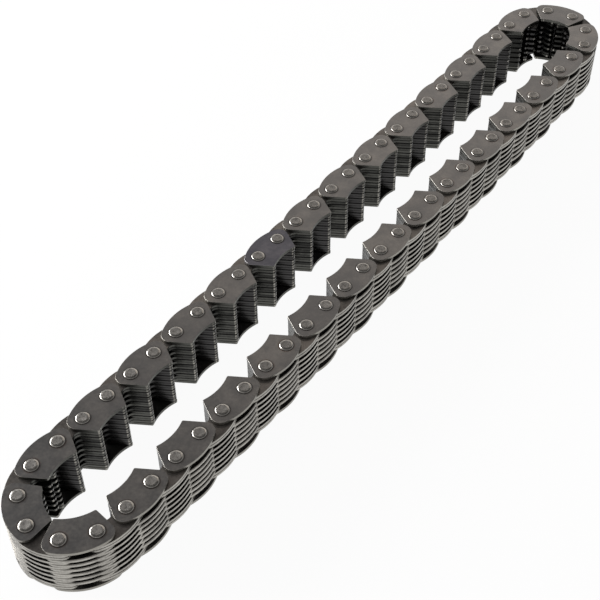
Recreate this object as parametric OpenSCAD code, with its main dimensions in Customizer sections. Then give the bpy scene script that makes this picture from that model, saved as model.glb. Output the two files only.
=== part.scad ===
// Silent chain: an endless riveted loop of toothed link plates, lying on its side.
// Guide links carry the pins; the inner links between them swing on those pins.
// The loop lies in the XY plane with its long strands along X and its pins along Z.

/* [Loop] */
// Distance between neighbouring pin axes
pitch = 9.525; // [9.2:0.005:10]
// Turn at the first bent pin of each end turn, in degrees
turn_1 = 6; // [2:1:9]
// Turn at the second bent pin
turn_2 = 33; // [30:1:36]
// Turn at the third bent pin
turn_3 = 40; // [37:1:42]
// Turn at the fourth bent pin
turn_4 = 43; // [39:1:43]
// Turn at the fifth bent pin; a sixth pin closes the half turn
turn_5 = 34; // [31:1:37]

/* [Link plates] */
// Thickness of every plate
plate_t = 1; // [0.8:0.05:1.3]
// Side gap between neighbouring plates on a pin
side_gap = 0.05; // [0.03:0.01:0.12]
// Height of the plate's back above the pin line
back_h = 4.85; // [4.6:0.05:5.2]
// Radius of the arched back
back_r = 17; // [15:0.5:20]
// Radius of the plate's rounded ends
end_r = 2.85; // [2.6:0.05:3]
// Gap between the ends of neighbouring plates in one layer
end_gap = 0.95; // [0.85:0.05:1.4]
// Lean of the tooth flanks, in degrees
flank_a = 31; // [30.5:0.5:34]
// Depth of the tooth tips below the pin line
toe_h = 6.35; // [5.8:0.05:6.4]
// Radius of the tooth tips of a link plate
toe_r = 1; // [0.8:0.05:1.15]
// Radius of the two tips of an outer guide plate
tip_r = 0.5; // [0.4:0.05:0.7]
// Lean of the inner flanks that face each other across a link plate's hollow, in degrees
hollow_a = 31; // [29.5:0.5:33]
// Radius at the root of that hollow
hollow_r = 2; // [1.7:0.05:2.4]
// Depth of the shallow arc between the two tips of an outer guide plate
arc_h = 0.9; // [0.6:0.05:1.2]

/* [Pins] */
// Diameter of the pins
pin_d = 3.3; // [2.8:0.05:3.4]
// Radial clearance of a pin in the inner links, which swing on it
run_clear = 0.05; // [0.02:0.01:0.09]
// Radial clearance of a pin in the plates that are riveted to it
seat_clear = 0.02; // [0.01:0.01:0.04]
// How far the riveted head reaches past the pin, all round
head_over = 0.4; // [0.25:0.05:0.5]
// Height of the riveted heads
head_h = 0.45; // [0.3:0.05:0.8]
// Bevel round the top of the heads
head_bevel = 0.14; // [0.05:0.01:0.2]

/* [Hidden] */
$fn = 64;
rows = 62;
half = rows / 2;

// Layers of the stack: outer guide plates, link plates of the guide links, plates of the inner links
outer_layers = [0, 16];
guide_layers = [3, 5, 7, 9, 11, 13];
inner_layers = [1, 2, 4, 6, 8, 10, 12, 14, 15];
layer_h = plate_t + side_gap;
stack_h = len(concat(outer_layers, guide_layers, inner_layers)) * layer_h - side_gap;
first_z = head_h + seat_clear;

// Plate outline, with the teeth towards -Y: centres of its arcs and the places of its straight flanks
// A flank runs a little nearer to a corner's centre than the corner's radius, so it crosses the arc cleanly
cross = cos(8);
end_x = pitch - end_gap / 2 - end_r;
back_y = back_h - back_r;
end_y = back_y + sqrt((back_r - cross * end_r) ^ 2 - end_x ^ 2);
back_c = [0, back_y];
end_c = [end_x, end_y];
back_far = end_c + 2 * end_r * unit(end_c - back_c);
flank_n = [cos(flank_a), -sin(flank_a)];
end_flank = end_c + cross * end_r * flank_n;
toe_c = tip_at(toe_r);
tip_c = tip_at(tip_r);
arc_drop = arc_h - tip_r;
arc_r = (tip_c.x ^ 2 + arc_drop ^ 2 - (cross * tip_r) ^ 2) / (2 * (arc_drop + cross * tip_r));
arc_c = [0, arc_h - toe_h - arc_r];
hollow_n = [-cos(hollow_a), -sin(hollow_a)];
hollow_c = [0, (toe_c * hollow_n + cross * (toe_r + hollow_r)) / -sin(hollow_a)];
hollow_root = hollow_c - cross * hollow_r * hollow_n;
hollow_toe = toe_c + cross * toe_r * hollow_n;
hollow_low = hollow_toe + 2 * toe_r * [sin(hollow_a), -cos(hollow_a)];
toe_under = toe_c + 2 * toe_r * hollow_n;

// Pins in order round the loop; the second half repeats the first, turned by half a turn
turns = [turn_1, turn_2, turn_3, turn_4, turn_5, 180 - turn_1 - turn_2 - turn_3 - turn_4 - turn_5];
bends = len(turns);
middle = walk(half) / 2;

// Two links stay joined to a neighbour, one halfway along each strand; the rest are numbered from there
far_guide = 12;
near_inner = 43;
single_rows = [for (r = [far_guide + 2 : far_guide + rows - 1]) if (r != near_inner && r != near_inner + 1) r];
guide_rows = [for (r = single_rows) if (r % 2 == 0) r % rows];
inner_rows = [for (r = single_rows) if (r % 2 == 1) r % rows];
guide_names = [for (i = [1 : len(guide_rows)]) str("guide_link_", two_digits(i))];
inner_names = [for (i = [1 : len(inner_rows)]) str("inner_link_", two_digits(i))];

function two_digits(n) = n < 10 ? str("0", n) : str(n);
function unit(v) = v / norm(v);
function flip(p) = [-p.x, p.y];

// Centre of a tip of radius r that ends the flank at the full depth
function tip_at(r) =
  let (y = r - toe_h)
  [(end_flank * flank_n - cross * r + y * sin(flank_a)) / cos(flank_a), y];

// Inward turn of the loop at pin i
function turn(i) =
  let (k = i % half)
  k == 0 ? turns[bends - 1] : k > half - bends ? turns[k - half + bends - 1] : 0;
// Direction of row r, which runs from pin r to pin r + 1
function heading(r) = r < 1 ? 0 : heading(r - 1) - turn(r);
function walk(i) = i < 1 ? [0, 0] : walk(i - 1) + pitch * [cos(heading(i - 1)), sin(heading(i - 1))];
function pin_at(i) = walk(i % rows) - middle;
function layer_z(n) = first_z + n * layer_h;

// Back, ends, flanks and toe tips of a plate; what lies under its middle is cut away afterwards
module plate_body(tip, r, under) {
  right = [back_far, end_c, end_flank, tip + cross * r * flank_n, tip];
  intersection() {
    translate(back_c) circle(r = back_r);
    polygon(concat(right, under, [for (i = [4 : -1 : 0]) flip(right[i])]));
  }
  for (m = [0, 1]) mirror([m, 0]) {
    translate(end_c) circle(r = end_r);
    translate(tip) circle(r = r);
  }
}

// Outer guide plate: a shallow arc from tip to tip
module guide_outline() {
  difference() {
    plate_body(tip_c, tip_r, [arc_c]);
    translate(arc_c) circle(r = arc_r);
  }
}

// Link plate: a deep hollow with straight flanks, which takes a sprocket tooth
module link_outline() {
  difference() {
    plate_body(toe_c, toe_r, [toe_under, flip(toe_under)]);
    polygon([hollow_low, hollow_root, flip(hollow_root), flip(hollow_low)]);
    translate(hollow_c) circle(r = hollow_r);
  }
}

// One plate from its outline, with its two pin holes
module plate(clearance) {
  linear_extrude(plate_t) difference() {
    children();
    for (x = [-pitch / 2, pitch / 2]) translate([x, 0]) circle(d = pin_d + 2 * clearance);
  }
}

// One pin, riveted over at both ends
module pin() {
  top = 2 * first_z + stack_h;
  pin_r = pin_d / 2;
  head_r = pin_r + head_over;
  rotate_extrude() polygon([
    [0, 0],
    [head_r - head_bevel, 0],
    [head_r, head_bevel],
    [head_r, head_h],
    [pin_r, head_h],
    [pin_r, top - head_h],
    [head_r, top - head_h],
    [head_r, top - head_bevel],
    [head_r - head_bevel, top],
    [0, top]
  ]);
}

// Places a row's plates on the loop, in the layers given
module row_plates(row, layers) {
  centre = (pin_at(row) + pin_at(row + 1)) / 2;
  for (n = layers)
    translate([centre.x, centre.y, layer_z(n)]) rotate(heading(row)) children();
}

// Guide link: outer guide plates, the link plates between them and two pins riveted through them all
module guide_link(row) {
  color([0.34, 0.33, 0.33]) {
    row_plates(row, outer_layers) plate(seat_clear) guide_outline();
    row_plates(row, guide_layers) plate(seat_clear) link_outline();
  }
  color([0.52, 0.5, 0.48]) for (i = [row, row + 1]) translate(pin_at(i)) pin();
}

// Inner link: loose link plates that swing on the pins of the guide links on both sides
module inner_link(row) {
  color([0.3, 0.29, 0.29]) row_plates(row, inner_layers) plate(run_clear) link_outline();
}

// Guide link and the inner link beside it, held in line
module double_link(guide_row, inner_row) {
  guide_link(guide_row);
  inner_link(inner_row);
}

double_link(far_guide, far_guide + 1);  // double_link_far
double_link(near_inner + 1, near_inner);  // double_link_near
for (i = [0 : len(guide_rows) - 1]) guide_link(guide_rows[i]);
for (i = [0 : len(inner_rows) - 1]) inner_link(inner_rows[i]);
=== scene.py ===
"""Silent chain lying on its side: toothed plates, riveted pins and their steel finishes."""

import math
import random

import bmesh
import bpy
from mathutils import Matrix, Vector


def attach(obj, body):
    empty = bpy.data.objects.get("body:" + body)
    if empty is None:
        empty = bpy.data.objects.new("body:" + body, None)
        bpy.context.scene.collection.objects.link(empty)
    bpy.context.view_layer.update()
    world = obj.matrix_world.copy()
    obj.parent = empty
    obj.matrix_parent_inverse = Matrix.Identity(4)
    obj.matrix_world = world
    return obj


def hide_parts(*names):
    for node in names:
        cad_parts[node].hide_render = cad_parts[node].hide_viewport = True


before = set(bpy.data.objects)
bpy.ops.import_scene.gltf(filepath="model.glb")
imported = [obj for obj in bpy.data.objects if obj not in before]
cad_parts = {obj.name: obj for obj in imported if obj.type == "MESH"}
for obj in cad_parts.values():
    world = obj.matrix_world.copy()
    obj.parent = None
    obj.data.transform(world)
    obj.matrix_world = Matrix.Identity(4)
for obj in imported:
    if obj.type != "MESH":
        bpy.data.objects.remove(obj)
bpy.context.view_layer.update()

# Sizes in millimetres, as in the part's source
MM = 0.001
MM_PER_METRE = 1000
ROWS = 62
HALF = 31
PITCH = 9.525
TURNS = (6, 33, 40, 43, 34, 24)
FAR_GUIDE = 12
NEAR_INNER = 43
PLATE_T = 1.0
LAYER_H = 1.05
FIRST_Z = 0.47
OUTER_LAYERS = (0, 16)
GUIDE_LAYERS = (3, 5, 7, 9, 11, 13)
INNER_LAYERS = (1, 2, 4, 6, 8, 10, 12, 14, 15)
BACK_H = 4.85
BACK_R = 17.0
END_R = 2.85
END_GAP = 0.95
FLANK_A = math.radians(31)
TOE_H = 6.35
TIP_R = 0.5
HOLLOW_A = math.radians(31)
HOLLOW_R = 2.0
ARC_H = 0.9
PIN_R = 1.65
PIN_TOP = 18.74
SEAT_CLEAR = 0.02
RUN_CLEAR = 0.05
HEAD_R = 2.05
HEAD_H = 0.45

# Toes a little rounder than in the source, because the flanks meet the arcs at a tangent here
TOE_R = 1.07

# Broken edges of each kind of plate, underneath and on top
GUIDE_EDGES = (0.07, 0.07)
SEATED_EDGES = (0.05, 0.2)
RUNNING_EDGES = (0.2, 0.05)

# Riveted end of a pin, from its middle outwards: radius and drop below the top
HEAD_PROFILE = (
    (0, 0.04),
    (0.6, 0.04),
    (1.05, 0.015),
    (1.25, 0.0),
    (1.45, 0.02),
    (1.62, 0.06),
    (1.77, 0.12),
    (1.89, 0.19),
    (1.98, 0.27),
    (2.03, 0.35),
    (HEAD_R, HEAD_H),
    (PIN_R, HEAD_H),
)

# Steps round the arcs of a plate of fineness 1, and round a pin
BACK_STEPS = 5
END_STEPS = 6
TIP_STEPS = 3
ARC_STEPS = 4
TOE_STEPS = 5
HOLLOW_STEPS = 3
HOLE_STEPS = 8
PIN_STEPS = 28
LINK_FINE = 1
GUIDE_FINE = 2

# Points closer than this are one, and edges sharper than this stay sharp
WELD = 1e-4
SHARP = math.radians(32)

# Painted shade on the plates: paler next to the outer ones, darker packed inside and darkest in the
# far turn, spread a little at random
LAYER_SHADE = {0: 0.0, 1: 0.3, 15: 0.3, 16: 0.0}
INSIDE_SHADE = -0.3
TONE_SPREAD = 0.07
SHADED_TURN_ROWS = range(25, 33)
TURN_SHADE = -0.25
STAIN_SHARES = (0.0, 0.15, 0.5, 1.0)
SEED = 11
BLUED_ROW = 10

# Heights over the pin line: sheltered faces that take painted shade lie below the first, the
# teeth's painted shade fades over the second, and the teeth's tips lie below the third
SHELTER_LINE = 0.5
TOOTH_FADE = (-1.2, 1.6)
TIP_FADE = (-6.15, -6.0)

# Distance from a tip's middle at which its painted highlight begins
TIP_GAP = (0.15, 0.3)

# How far stains and painted contact shade reach past a riveted head
STAIN_REACH = 0.7
HEAD_SHADE_REACH = 0.45

# Radii on a riveted head: its rubbed rim begins, its rim ends, its foot with painted contact shade
# begins
RIM_START = (1.25, 1.6)
RIM_END = (1.98, 2.03)
FOOT_START = (2.0, HEAD_R)

# Unevenness of the steel: strength, and depth in metres
PLATE_BUMPS = (0.3, 0.00008)
PIN_BUMPS = (0.5, 0.00012)

# Camera at the photograph's place, with its azimuth, elevation and roll in degrees
CAMERA_PLACE = (-0.23088, -0.15045, 0.26935)
CAMERA_ANGLES = (-53.283, 46.266, -0.499)
CAMERA_LENS = 71.775
CAMERA_SENSOR = 36.0
CAMERA_NEAR = 0.01

# Lamps: place, target, size, power and colour
LAMPS = {
    "key": ((-0.25, 0.66, 0.24), (0, 0, 0.01), (0.7, 0.22), 10.0, (1.0, 1.0, 1.0)),
    "back": ((0.55, 0.28, 0.42), (0.08, 0, 0.01), (0.62, 0.62), 0.9, (1.0, 0.9, 0.8)),
}

# Studio round the chain
LEFTWARDS = (-0.6, 0.8, 0.0)
CEILING_RISE = (0.3, 0.85)
WHITE = (1.0, 1.0, 1.0, 1.0)
FLOOR_GREY = (0.9, 0.9, 0.9, 1.0)
FLOOR_SIZE = 20.0
FLOOR_GLOW = 0.95

# Centres of the plate's arcs
BACK_C = (0.0, BACK_H - BACK_R)
END_X = PITCH - END_GAP / 2 - END_R
END_C = (END_X, BACK_C[1] + math.sqrt((BACK_R - END_R) ** 2 - END_X**2))
FLANK_D = END_C[0] * math.cos(FLANK_A) - END_C[1] * math.sin(FLANK_A) + END_R


def tip_at(radius):
    """Centre of a tip that ends the flank at the full depth."""
    y = radius - TOE_H
    return ((FLANK_D - radius + y * math.sin(FLANK_A)) / math.cos(FLANK_A), y)


TOE_C = tip_at(TOE_R)
TIP_C = tip_at(TIP_R)
ARC_R = (TIP_C[0] ** 2 + (ARC_H - TIP_R) ** 2 - TIP_R**2) / (2 * ARC_H)
ARC_C = (0.0, ARC_H - TOE_H - ARC_R)
HOLLOW_D = TOE_C[0] * math.cos(HOLLOW_A) + TOE_C[1] * math.sin(HOLLOW_A) - TOE_R
HOLLOW_C = (0.0, (HOLLOW_D - HOLLOW_R) / math.sin(HOLLOW_A))


def beside(centre, radius, angle):
    """The point on a circle at an angle in radians."""
    return (centre[0] + radius * math.cos(angle), centre[1] + radius * math.sin(angle))


# Where the rows of plates lie


def turn(pin):
    """Inward bend of the loop at a pin, in degrees; each half of the loop ends in its bent pins."""
    bend = (pin - 1) % HALF - (HALF - len(TURNS))
    return TURNS[bend] if bend >= 0 else 0


def lay_loop():
    """Pin places round the loop and the heading of the row that starts at each."""
    headings = [0.0]
    for pin in range(1, ROWS):
        headings.append(headings[-1] - math.radians(turn(pin)))
    points = [Vector((0, 0, 0))]
    for heading in headings:
        points.append(points[-1] + PITCH * Vector((math.cos(heading), math.sin(heading), 0)))
    middle = points[HALF] / 2
    return [p - middle for p in points], headings


PINS, HEADINGS = lay_loop()


def row_bodies():
    """Body of each row; two rows on each strand share a double link."""
    bodies = dict.fromkeys((FAR_GUIDE, FAR_GUIDE + 1), "double_link_far")
    bodies.update(dict.fromkeys((NEAR_INNER, NEAR_INNER + 1), "double_link_near"))
    for kind, first in (("guide", FAR_GUIDE + 2), ("inner", FAR_GUIDE + 3)):
        rows = [row % ROWS for row in range(first, FAR_GUIDE + ROWS, 2)]
        single = [row for row in rows if row not in bodies]
        for count, row in enumerate(single, 1):
            bodies[row] = f"{kind}_link_{count:02d}"
    return bodies


BODIES = row_bodies()

# Plate and pin meshes


def verts_in(geom):
    """The vertices in a list of mixed geometry."""
    return [g for g in geom if isinstance(g, bmesh.types.BMVert)]


def faces_in(geom):
    """The faces in a list of mixed geometry."""
    return [g for g in geom if isinstance(g, bmesh.types.BMFace)]


def sweep(bm, tip, centre, angle, steps):
    """Carries the open end of an outline round a centre."""
    made = bmesh.ops.spin(
        bm, geom=[tip], cent=(*centre, 0), axis=(0, 0, 1), angle=angle, steps=steps
    )
    return verts_in(made["geom_last"])[0]


def run(bm, tip, target):
    """Carries the open end of an outline straight to a point."""
    made = bmesh.ops.extrude_vert_indiv(bm, verts=[tip])
    made["verts"][0].co = (*target, 0)
    return made["verts"][0]


def half_outline(bm, guide, fine):
    """Right half of a plate's outline, from the middle of its back to that of its underside."""
    back_end = math.atan2(END_C[1] - BACK_C[1], END_C[0])
    tip = bm.verts.new((0, BACK_H, 0))
    tip = sweep(bm, tip, BACK_C, back_end - math.pi / 2, BACK_STEPS * fine)
    tip = sweep(bm, tip, END_C, -FLANK_A - back_end, END_STEPS * fine)
    if guide:
        towards_arc = math.atan2(ARC_C[1] - TIP_C[1], ARC_C[0] - TIP_C[0])
        tip = run(bm, tip, beside(TIP_C, TIP_R, -FLANK_A))
        tip = sweep(bm, tip, TIP_C, towards_arc + FLANK_A, TIP_STEPS * fine)
        sweep(bm, tip, ARC_C, -math.pi / 2 - towards_arc, ARC_STEPS * fine)
    else:
        tip = run(bm, tip, beside(TOE_C, TOE_R, -FLANK_A))
        tip = sweep(bm, tip, TOE_C, HOLLOW_A - math.pi + FLANK_A, TOE_STEPS * fine)
        tip = run(bm, tip, beside(HOLLOW_C, HOLLOW_R, HOLLOW_A))
        sweep(bm, tip, HOLLOW_C, math.pi / 2 - HOLLOW_A, HOLLOW_STEPS * fine)


def ring(bm, x, z, radius, steps):
    """Edges of one rim of a pin hole."""
    made = bmesh.ops.create_circle(
        bm, radius=radius, segments=steps, matrix=Matrix.Translation((x, 0, z))
    )
    return list({edge for v in made["verts"] for edge in v.link_edges})


def flat_map(bm):
    """UV map that holds each point's own X and Y in millimetres."""
    flat = bm.loops.layers.uv.new("plate")
    for face in bm.faces:
        face.smooth = True
        for loop in face.loops:
            loop[flat].uv = loop.vert.co.xy


def as_mesh(name, bm):
    made = bpy.data.meshes.new(name)
    bm.to_mesh(made)
    bm.free()
    return made


def plate_mesh(name, guide, clearance, fine, edges, sheltered):
    """One stamped plate with broken edges and two pin holes, its teeth towards -Y.

    sheltered says which flanks of its teeth, shaded by the plates round them, take painted shade:
    1 for those between the pins, -1 for those outside them. At 0 there are none, and the plate
    isn't packed between others.
    """
    bm = bmesh.new()
    broken_edge = bm.faces.layers.float.new("broken_edge")
    sheared = bm.faces.layers.float.new("sheared")
    shelter_shade = bm.faces.layers.float.new("shelter_shade")
    packed = bm.faces.layers.float.new("packed")
    half_outline(bm, guide, fine)
    half = bm.verts[:] + bm.edges[:]
    bmesh.ops.mirror(bm, geom=half, matrix=Matrix.Identity(4), merge_dist=WELD, axis="X")
    bmesh.ops.remove_doubles(bm, verts=bm.verts[:], dist=WELD)
    under = bmesh.ops.contextual_create(bm, geom=bm.edges[:])["faces"][0]
    bmesh.ops.translate(bm, vec=(0, 0, edges[0]), verts=bm.verts[:])
    raised = bmesh.ops.extrude_face_region(bm, geom=[under])["geom"]
    bmesh.ops.translate(bm, vec=(0, 0, PLATE_T - sum(edges)), verts=verts_in(raised))
    bmesh.ops.recalc_face_normals(bm, faces=bm.faces[:])
    over = faces_in(raised)[0]
    for face in bm.faces:
        face[sheared] = 0.0 if face in (under, over) else 1.0
    rims = {-1: [], 1: []}
    for face, z, edge in ((under, 0.0, edges[0]), (over, PLATE_T, edges[1])):
        broken = bmesh.ops.inset_region(
            bm, faces=[face], thickness=edge, depth=edge, use_even_offset=True
        )
        for strip in broken["faces"]:
            strip[broken_edge] = 1.0
            strip[sheared] = 0.0
        border = list(face.edges)
        bmesh.ops.delete(bm, geom=[face], context="FACES_ONLY")
        for side in rims:
            rim = ring(bm, side * PITCH / 2, z, PIN_R + clearance, HOLE_STEPS * (1 + fine))
            rims[side] += rim
            border += rim
        bmesh.ops.triangle_fill(bm, use_beauty=True, edges=border)
    for rim in rims.values():
        bmesh.ops.bridge_loops(bm, edges=rim)
    bmesh.ops.recalc_face_normals(bm, faces=bm.faces[:])
    flat_map(bm)
    for face in bm.faces:
        middle = face.calc_center_median()
        hidden = sheltered * (PITCH / 2 - abs(middle.x)) > 0
        face[packed] = abs(sheltered)
        # Sheltered tooth flanks are marked for painted shade
        face[shelter_shade] = 1.0 if middle.y < SHELTER_LINE and hidden else 0.0
    return as_mesh(name, bm)


def pin_mesh():
    """One pin with a dished, riveted head at each end."""
    profile = [(r, PIN_TOP - drop) for r, drop in HEAD_PROFILE]
    profile += [(r, PIN_TOP - z) for r, z in reversed(profile)]
    bm = bmesh.new()
    points = [bm.verts.new((r, 0, z)) for r, z in profile]
    edges = [bm.edges.new(pair) for pair in zip(points, points[1:])]
    bmesh.ops.spin(
        bm,
        geom=points + edges,
        cent=(0, 0, 0),
        axis=(0, 0, 1),
        angle=2 * math.pi,
        steps=PIN_STEPS,
        use_merge=True,
    )
    bmesh.ops.remove_doubles(bm, verts=bm.verts[:], dist=WELD)
    bmesh.ops.recalc_face_normals(bm, faces=bm.faces[:])
    flat_map(bm)
    return as_mesh("pin", bm)


# Finishes


class Value:
    """A number that changes over a surface; arithmetic on it adds Math nodes."""

    def __init__(self, finish, socket):
        self.finish = finish
        self.socket = socket

    def math(self, operation, *terms):
        return self.finish.value("ShaderNodeMath", {"operation": operation}, dict(enumerate(terms)))

    def __add__(self, other):
        return self.math("ADD", self, other)

    def __radd__(self, other):
        return self.math("ADD", other, self)

    def __sub__(self, other):
        return self.math("SUBTRACT", self, other)

    def __rsub__(self, other):
        return self.math("SUBTRACT", other, self)

    def __mul__(self, other):
        return self.math("MULTIPLY", self, other)

    def __rmul__(self, other):
        return self.math("MULTIPLY", other, self)

    def __pow__(self, other):
        return self.math("POWER", self, other)

    def __abs__(self):
        return self.math("ABSOLUTE", self)

    def step(self, low, high):
        """0 below low, 1 above high and smooth between them."""
        limits = {"Value": self, "From Min": low, "From Max": high}
        return self.finish.value("ShaderNodeMapRange", {"interpolation_type": "SMOOTHSTEP"}, limits)


class Finish:
    """A material whose nodes are added as its surface needs them."""

    def __init__(self, name, owner=None):
        self.owner = owner or bpy.data.materials.new(name)
        self.owner.use_nodes = True
        self.tree = self.owner.node_tree

    def node(self, kind, settings=None, inputs=None):
        """A new node with its settings made first and its sockets filled after them."""
        made = self.tree.nodes.new(kind)
        for key, setting in (settings or {}).items():
            setattr(made, key, setting)
        self.fill(made, inputs or {})
        return made

    def fill(self, made, inputs):
        """Sets or links a node's sockets."""
        for key, given in inputs.items():
            source = given.socket if isinstance(given, Value) else given
            if isinstance(source, bpy.types.NodeSocket):
                self.tree.links.new(source, made.inputs[key])
            else:
                made.inputs[key].default_value = source

    def value(self, kind, settings=None, inputs=None, output=0):
        """One output of a new node, for arithmetic."""
        return Value(self, self.node(kind, settings, inputs).outputs[output])

    def blend(self, share, first, second):
        """Colour that goes from first to second as share goes from 0 to 1."""
        colours = {0: share, 6: first, 7: second}
        return self.node("ShaderNodeMix", {"data_type": "RGBA"}, colours).outputs[2]

    def stretched(self, vector, factors):
        """A vector with each of its parts multiplied."""
        parts = {0: vector, 1: factors}
        return self.node("ShaderNodeVectorMath", {"operation": "MULTIPLY"}, parts).outputs[0]

    def grains(self, place, size, detail=3.0, rough=0.55):
        """Noise whose lumps are about size millimetres across."""
        inputs = {"Vector": place, "Scale": 1 / size, "Detail": detail, "Roughness": rough}
        return self.value("ShaderNodeTexNoise", None, inputs)

    def mark(self, name):
        """A number stored on the mesh."""
        return self.value("ShaderNodeAttribute", {"attribute_name": name}, output=2)

    def place(self, stretch=(1, 1, 1)):
        """Object coordinates in millimetres, drawn out along an axis where stretch is below 1."""
        spot = self.node("ShaderNodeTexCoord").outputs["Object"]
        return self.stretched(spot, tuple(MM_PER_METRE * s for s in stretch))

    def spot(self):
        """Millimetres from the middle of a plate or from the axis of a pin."""
        return self.node("ShaderNodeUVMap", {"uv_map": "plate"}).outputs[0]

    def bumps(self, height, strength, depth):
        """Normals of a surface that is uneven by about depth in metres."""
        inputs = {"Strength": strength, "Distance": depth, "Height": height}
        return self.node("ShaderNodeBump", None, inputs).outputs[0]

    def surface(self, inputs):
        """The material, with its shader's sockets filled."""
        self.fill(self.tree.nodes["Principled BSDF"], inputs)
        return self.owner


def srgb(red, green, blue):
    """A colour from its values on screen, 0 to 255."""
    shown = (red / 255, green / 255, blue / 255)
    lin = [c / 12.92 if c <= 0.04045 else ((c + 0.055) / 1.055) ** 2.4 for c in shown]
    return (*lin, 1.0)


def plate_steel(name, dark, pale, cut, bare, stain):
    """Oil-blacked plate steel: mottled flats, bright sheared backs, teeth darkened with painted
    shade.
    """
    steel = Finish(name)
    place = steel.place()
    tone_and_shade = steel.mark("tone_and_shade")
    broken_edge = steel.mark("broken_edge")
    sheared = steel.mark("sheared")
    shelter_shade = steel.mark("shelter_shade")
    clouds = steel.grains(place, 5.0, 4.0)
    mottle = steel.grains(place, 0.9, 4.0, 0.65)
    grit = steel.grains(place, 0.22, 2.0)
    drawn = steel.grains(steel.place((1, 1, 0.12)), 0.5, 3.0)
    # Where a point lies on its plate: across it, beside the nearer pin and away from that pin
    spot = steel.spot()
    split = steel.node("ShaderNodeSeparateXYZ", None, {0: spot})
    across = Value(steel, split.outputs[1])
    beside_pin = abs(Value(steel, split.outputs[0])) - PITCH / 2
    reach = (beside_pin**2 + across**2) ** 0.5
    # The tooth side is painted dark, for the shade between the plates and the strands
    toothed = 1 - across.step(*TOOTH_FADE)
    # Flats: mottled, finely scratched along the plate, darker where a plate takes painted shade,
    # stained round the pin heads and ringed there with painted contact shade
    scratches = steel.grains(steel.stretched(spot, (0.35, 6.0, 1.0)), 1.0, 3.0, 0.6)
    scratches = scratches.step(0.6, 0.72)
    flats = (clouds * 0.9 + mottle * 0.6 + scratches * 0.25 + tone_and_shade - 0.45).step(0.0, 1.0)
    colour = steel.blend(flats, dark, pale)
    halo = 1 - reach.step(HEAD_R, HEAD_R + STAIN_REACH)
    halo = halo * (mottle * 0.6 + clouds * 0.8).step(0.55, 0.85) * steel.mark("stain")
    colour = steel.blend(halo * (1 - sheared) * 0.5, colour, stain)
    # A ring of painted contact shade round each head
    head_shade = (1 - reach.step(HEAD_R, HEAD_R + HEAD_SHADE_REACH)) * (1 - sheared)
    colour = steel.blend(head_shade * 0.75, colour, srgb(44, 42, 41))
    # Sheared edges: bright backs, and teeth painted dark with shade, with a painted highlight
    # beside each tip
    edge = (clouds * 0.7 + drawn * 0.3).step(0.25, 0.7)
    edge = steel.blend(edge, srgb(136, 133, 127), cut)
    ground = (mottle * 0.5 + clouds * 0.5 + (tone_and_shade + 0.3) * 2).step(0.25, 0.75)
    tooth = steel.blend(ground, srgb(48, 48, 46), srgb(85, 85, 81))
    # Sheltered flanks take an even painted shade
    tooth = steel.blend(shelter_shade * 0.9, tooth, srgb(66, 65, 65))
    # A painted highlight along each tip, left off the plates painted darkest
    tip_highlight = (1 - across.step(*TIP_FADE)) * abs(beside_pin).step(*TIP_GAP)
    tip_highlight = tip_highlight * mottle.step(0.35, 0.6) * tone_and_shade.step(-0.56, -0.42)
    tooth = steel.blend(tip_highlight * 0.9, tooth, srgb(168, 165, 157))
    edge = steel.blend(toothed, edge, tooth)
    colour = steel.blend(sheared, colour, edge)
    # Broken edges: painted shade in the grooves between packed teeth, rubbed bare elsewhere
    groove_shade = broken_edge * toothed * steel.mark("packed")
    colour = steel.blend(groove_shade * 0.9, colour, srgb(30, 30, 30))
    rubbed = broken_edge * (mottle * 0.3 + clouds * 0.7).step(0.25, 0.6) * (1 - groove_shade) * (1 - shelter_shade)
    colour = steel.blend(rubbed * 0.8, colour, bare)
    rough = 0.3 + mottle * 0.14 + rubbed * 0.12
    height = mottle * 0.5 + grit * 0.3 + sheared * drawn * 0.15
    normal = steel.bumps(height, *PLATE_BUMPS)
    return steel.surface(
        {"Base Color": colour, "Roughness": rough, "Metallic": 0.92, "Normal": normal}
    )


def pin_steel():
    """Pin steel: peened face with a rubbed rim, a few dark nicks and a foot darkened with painted
    contact shade.
    """
    steel = Finish("pin_steel")
    place = steel.place()
    radius = steel.value("ShaderNodeVectorMath", {"operation": "LENGTH"}, {0: steel.spot()}, 1)
    clouds = steel.grains(place, 2.2, 3.0)
    peened = steel.grains(place, 0.7, 3.0, 0.6)
    rim = radius.step(*RIM_START) * (1 - radius.step(*RIM_END))
    face = (clouds * 0.8 + peened * 0.6 - 0.2).step(0.1, 0.9)
    colour = steel.blend(face, srgb(92, 90, 88), srgb(142, 139, 135))
    colour = steel.blend(rim * (0.2 + peened).step(0.3, 0.9) * 0.8, colour, srgb(164, 160, 154))
    nicks = (1 - peened.step(0.3, 0.4)) * (1 - rim)
    colour = steel.blend(nicks * 0.75, colour, srgb(52, 48, 46))
    # The head's outside edge takes a brownish painted contact shadow
    foot = radius.step(*FOOT_START)
    colour = steel.blend(foot * 0.7, colour, srgb(62, 52, 46))
    rough = 0.45 + peened * 0.2 - rim * 0.36
    normal = steel.bumps(peened, *PIN_BUMPS)
    return steel.surface(
        {"Base Color": colour, "Roughness": rough, "Metallic": 0.95, "Normal": normal}
    )


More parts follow.
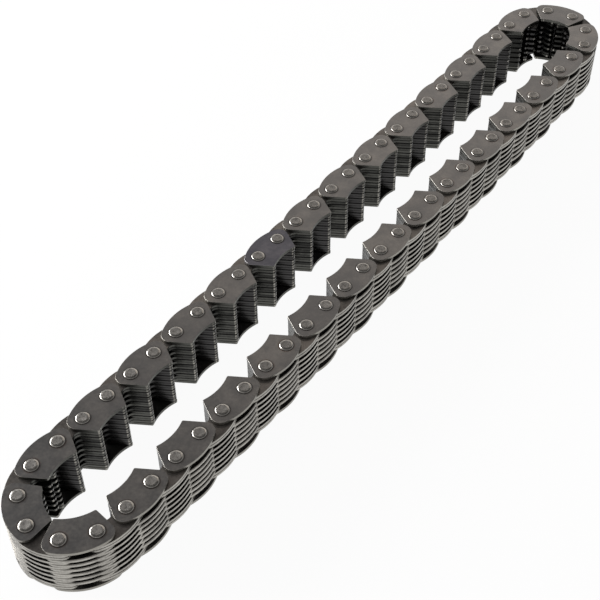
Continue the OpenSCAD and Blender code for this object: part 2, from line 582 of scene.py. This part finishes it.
GUIDE_STEEL = plate_steel(
    "guide_plate_steel",
    dark=srgb(96, 95, 95),
    pale=srgb(130, 126, 122),
    cut=srgb(150, 147, 139),
    bare=srgb(140, 137, 130),
    stain=srgb(104, 74, 58),
)
LINK_STEEL = plate_steel(
    "link_plate_steel",
    dark=srgb(50, 49, 48),
    pale=srgb(118, 113, 109),
    cut=srgb(178, 175, 168),
    bare=srgb(166, 162, 155),
    stain=srgb(88, 66, 54),
)
BLUED_STEEL = plate_steel(
    "blued_plate_steel",
    dark=srgb(76, 76, 83),
    pale=srgb(112, 110, 115),
    cut=srgb(110, 109, 112),
    bare=srgb(150, 148, 148),
    stain=srgb(80, 66, 62),
)
PIN_STEEL = pin_steel()

# Pieces


def add_piece(name, bm, finish, body):
    """A finished piece in metres that rides on its body and stands for its node."""
    bmesh.ops.scale(bm, vec=(MM, MM, MM), verts=bm.verts[:])
    made = as_mesh(name, bm)
    made.set_sharp_from_angle(angle=SHARP)
    made.materials.append(finish)
    piece = bpy.data.objects.new(name, made)
    bpy.context.scene.collection.objects.link(piece)
    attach(piece, body)
    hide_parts(body)


def stack_plates(plate, row, layers, chance):
    """Copies of a plate in the given layers of a row, each with its own painted shade, spread a
    little at random, and its stains.
    """
    bm = bmesh.new()
    bm.from_mesh(plate)
    tone_and_shade = bm.faces.layers.float.new("tone_and_shade")
    stain = bm.faces.layers.float.new("stain")
    first = bm.faces[:]
    copies = [first]
    for _ in layers[1:]:
        copies.append(faces_in(bmesh.ops.duplicate(bm, geom=first)["geom"]))
    centre = (PINS[row] + PINS[row + 1]) / 2
    heading = Matrix.Rotation(HEADINGS[row], 4, "Z")
    for layer, faces in zip(layers, copies):
        # Painted shade by layer and in the far turn, spread a little at random
        shade = chance.gauss(LAYER_SHADE.get(layer, INSIDE_SHADE), TONE_SPREAD)
        if row in SHADED_TURN_ROWS and layer not in OUTER_LAYERS:
            shade += TURN_SHADE
        marked = chance.choice(STAIN_SHARES)
        for face in faces:
            face[tone_and_shade] = shade
            face[stain] = marked
        lifted = Matrix.Translation((centre.x, centre.y, FIRST_Z + layer * LAYER_H))
        corners = list({v for face in faces for v in face.verts})
        bmesh.ops.transform(bm, matrix=lifted @ heading, verts=corners)
    return bm


def set_pins(pin, row):
    """The two pins of a guide link."""
    bm = bmesh.new()
    bm.from_mesh(pin)
    first = bm.verts[:] + bm.edges[:] + bm.faces[:]
    second = bmesh.ops.duplicate(bm, geom=first)["geom"]
    for end, geom in ((row, first), (row + 1, second)):
        bmesh.ops.translate(bm, vec=PINS[end], verts=verts_in(geom))
    return bm


def build_chain():
    """All rows: odd ones are inner links, even ones are guide links with their pins."""
    chance = random.Random(SEED)
    guide = plate_mesh("guide_plate", True, SEAT_CLEAR, GUIDE_FINE, GUIDE_EDGES, 0)
    seated = plate_mesh("seated_plate", False, SEAT_CLEAR, LINK_FINE, SEATED_EDGES, 1)
    running = plate_mesh("running_plate", False, RUN_CLEAR, LINK_FINE, RUNNING_EDGES, -1)
    pin = pin_mesh()
    for row in range(ROWS):
        body = BODIES[row]
        if row % 2:
            plates = stack_plates(running, row, INNER_LAYERS, chance)
            add_piece(f"inner_plates_{row:02d}", plates, LINK_STEEL, body)
            continue
        plates = stack_plates(seated, row, GUIDE_LAYERS, chance)
        add_piece(f"link_plates_{row:02d}", plates, LINK_STEEL, body)
        for side, layer in zip(("lower", "upper"), OUTER_LAYERS):
            finish = BLUED_STEEL if row == BLUED_ROW and side == "upper" else GUIDE_STEEL
            plates = stack_plates(guide, row, (layer,), chance)
            add_piece(f"guide_plate_{side}_{row:02d}", plates, finish, body)
        add_piece(f"pins_{row:02d}", set_pins(pin, row), PIN_STEEL, body)


# Floor, light and camera


def seen_rays(finish):
    """1 for rays from the camera, a reflection or a refraction."""
    rays = finish.node("ShaderNodeLightPath")
    camera = Value(finish, rays.outputs["Is Camera Ray"])
    glossy = Value(finish, rays.outputs["Is Glossy Ray"])
    passed = Value(finish, rays.outputs["Is Transmission Ray"])
    return camera.math("MAXIMUM", camera.math("MAXIMUM", camera, glossy), passed)


def add_floor():
    """Pale floor that shows white and still takes the chain's shadow."""
    bm = bmesh.new()
    bmesh.ops.create_grid(bm, x_segments=2, y_segments=2, size=FLOOR_SIZE)
    made = as_mesh("floor", bm)
    floor = bpy.data.objects.new("floor", made)
    bpy.context.scene.collection.objects.link(floor)
    paint = Finish("floor_paint")
    share = seen_rays(paint) * FLOOR_GLOW
    matt = paint.node("ShaderNodeBsdfDiffuse", None, {"Color": FLOOR_GREY}).outputs[0]
    glow = paint.node("ShaderNodeEmission", None, {"Color": WHITE, "Strength": 1.0}).outputs[0]
    both = paint.node("ShaderNodeMixShader", None, {0: share, 1: matt, 2: glow})
    paint.fill(paint.tree.nodes["Material Output"], {"Surface": both.outputs[0]})
    made.materials.append(paint.owner)


def add_world():
    """Pale studio walls, brighter on the left, under a softer ceiling."""
    world = bpy.data.worlds.new("studio")
    bpy.context.scene.world = world
    sky = Finish("studio", world)
    aim = sky.node("ShaderNodeTexCoord").outputs["Generated"]
    rise = Value(sky, sky.node("ShaderNodeSeparateXYZ", None, {0: aim}).outputs[2])
    facing = {0: aim, 1: LEFTWARDS}
    left = sky.value("ShaderNodeVectorMath", {"operation": "DOT_PRODUCT"}, facing, output=1)
    glow = (1 - rise.step(*CEILING_RISE) * 0.8) * (0.8 + left * 0.2)
    sky.fill(sky.tree.nodes["Background"], {"Color": WHITE, "Strength": glow})


def add_lamp(name, place, target, size, power, colour):
    """A soft rectangular lamp turned towards a target."""
    lamp = bpy.data.lights.new(name, "AREA")
    lamp.shape = "RECTANGLE"
    lamp.size, lamp.size_y = size
    lamp.energy = power
    lamp.color = colour
    made = bpy.data.objects.new(name, lamp)
    made.location = place
    aim = Vector(target) - Vector(place)
    made.rotation_euler = aim.to_track_quat("-Z", "Y").to_euler()
    bpy.context.scene.collection.objects.link(made)


def add_camera():
    """Camera at the photograph's place and angle."""
    azimuth, elevation, roll = (math.radians(a) for a in CAMERA_ANGLES)
    level = math.cos(elevation)
    back = Vector((math.sin(azimuth) * level, -math.cos(azimuth) * level, math.sin(elevation)))
    right = Vector((math.cos(azimuth), math.sin(azimuth), 0))
    up = back.cross(right)
    upright = Matrix((right, up, back)).transposed().to_4x4()
    lens = bpy.data.cameras.new("camera")
    lens.lens = CAMERA_LENS
    lens.sensor_width = CAMERA_SENSOR
    lens.clip_start = CAMERA_NEAR
    made = bpy.data.objects.new("camera", lens)
    rolled = upright @ Matrix.Rotation(roll, 4, "Z")
    made.matrix_world = Matrix.Translation(CAMERA_PLACE) @ rolled
    bpy.context.scene.collection.objects.link(made)
    bpy.context.scene.camera = made


build_chain()
add_floor()
add_world()
for lamp_name, lamp_values in LAMPS.items():
    add_lamp(lamp_name, *lamp_values)
add_camera()
bpy.context.scene.view_settings.view_transform = "Standard"
